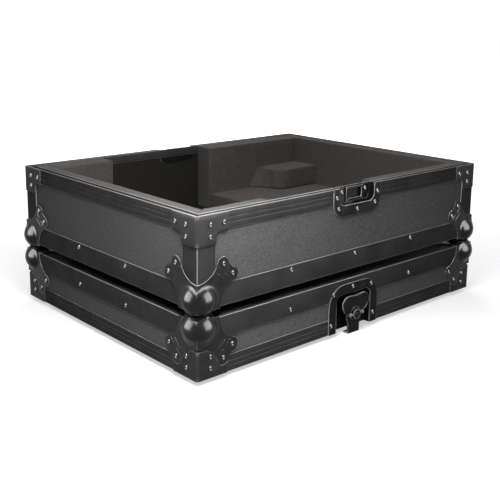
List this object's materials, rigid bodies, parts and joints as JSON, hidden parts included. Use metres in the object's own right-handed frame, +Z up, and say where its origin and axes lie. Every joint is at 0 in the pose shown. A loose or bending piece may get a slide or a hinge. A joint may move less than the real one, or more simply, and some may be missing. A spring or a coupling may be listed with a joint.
{
  "type": "cd player flight case",
  "caption": "Foam-lined flight case for a tabletop disc player: open base tray with ball corners and keepers, standing on its detached lid with turning butterfly latches.",
  "frame": {"origin": "on the floor plane, under the middle of the case: the tips of the latch hooks are at z = 0", "axes": "+X along the front to the right, +Y from the front to the rear, +Z up"},
  "size_m": [0.519, 0.394, 0.1897],
  "materials": {
    "laminate": "plywood with a fine-textured charcoal laminate",
    "edging": "black satin anodised",
    "steel": "gloss black coated steel",
    "latch": "semi-gloss black coated steel",
    "foam": "matt dark grey foam"
  },
  "bodies": {
    "lid": {"lid_top_panel": "laminate", "lid_wall_frame": "laminate", "lid_top_foam": "foam", "lid_rim_front": "edging", "lid_rim_rear": "edging", "lid_rim_left": "edging", "lid_rim_right": "edging", "lid_edge_frame": "edging", "lid_ball_corner_front_left": "steel", "lid_ball_corner_front_right": "steel", "lid_ball_corner_rear_left": "steel", "lid_ball_corner_rear_right": "steel", "lid_rim_bracket_front_left": "steel", "lid_rim_bracket_front_right": "steel", "lid_rim_bracket_rear_left": "steel", "lid_rim_bracket_rear_right": "steel", "latch_dish_front": "steel", "latch_dish_rear": "steel"},
    "base": {"base_floor_panel": "laminate", "base_front_panel": "laminate", "base_rear_panel": "laminate", "base_left_panel": "laminate", "base_right_panel": "laminate", "base_rim_front": "edging", "base_rim_rear": "edging", "base_rim_left": "edging", "base_rim_right": "edging", "base_edge_frame": "edging", "base_corner_angle_front_left": "edging", "base_corner_angle_front_right": "edging", "base_corner_angle_rear_left": "edging", "base_corner_angle_rear_right": "edging", "base_ball_corner_front_left": "steel", "base_ball_corner_front_right": "steel", "base_ball_corner_rear_left": "steel", "base_ball_corner_rear_right": "steel", "base_rim_bracket_front_left": "steel", "base_rim_bracket_front_right": "steel", "base_rim_bracket_rear_left": "steel", "base_rim_bracket_rear_right": "steel", "keeper_dish_front": "steel", "keeper_dish_rear": "steel", "keeper_strike_front": "steel", "keeper_strike_rear": "steel", "foam_left_liner": "foam", "foam_right_liner": "foam", "foam_front_left": "foam", "foam_front_right": "foam", "foam_rear_left": "foam", "foam_rear_right": "foam", "foam_floor_left": "foam", "foam_floor_right": "foam", "foam_corner_block": "foam"},
    "front_hub": {"latch_hub_front": "latch"},
    "front_wing": {"latch_wing_front": "latch"},
    "front_hook": {"latch_hook_front": "latch"},
    "rear_hub": {"latch_hub_rear": "latch"},
    "rear_wing": {"latch_wing_rear": "latch"},
    "rear_hook": {"latch_hook_rear": "latch"}
  },
  "joints": [
    {"name": "base_lift", "type": "slide", "parent": "lid", "child": "base", "axis": [0, 0, 1], "range_m": [0, 0.2]},
    {"name": "front_latch_turn", "type": "hinge", "parent": "lid", "child": "front_hub", "pos_m": [0, -0.1875, 0.0257], "axis": [0, 1, 0], "range_deg": [0, 180]},
    {"name": "front_wing_fold", "type": "hinge", "parent": "front_hub", "child": "front_wing", "pos_m": [0, -0.1934, 0.0257], "axis": [1, 0, 0], "range_deg": [0, 90]},
    {"name": "front_hook_slide", "type": "slide", "parent": "lid", "child": "front_hook", "axis": [0, 0, -1], "range_m": [0, 0.008]},
    {"name": "rear_latch_turn", "type": "hinge", "parent": "lid", "child": "rear_hub", "pos_m": [0, 0.1875, 0.0257], "axis": [0, -1, 0], "range_deg": [0, 180]},
    {"name": "rear_wing_fold", "type": "hinge", "parent": "rear_hub", "child": "rear_wing", "pos_m": [0, 0.1934, 0.0257], "axis": [-1, 0, 0], "range_deg": [0, 90]},
    {"name": "rear_hook_slide", "type": "slide", "parent": "lid", "child": "rear_hook", "axis": [0, 0, -1], "range_m": [0, 0.008]}
  ],
  "couplings": [
    {"joint": "front_hook_slide", "follows": "front_latch_turn", "m_per_rad": 0.002546},
    {"joint": "rear_hook_slide", "follows": "rear_latch_turn", "m_per_rad": 0.002546}
  ]
}
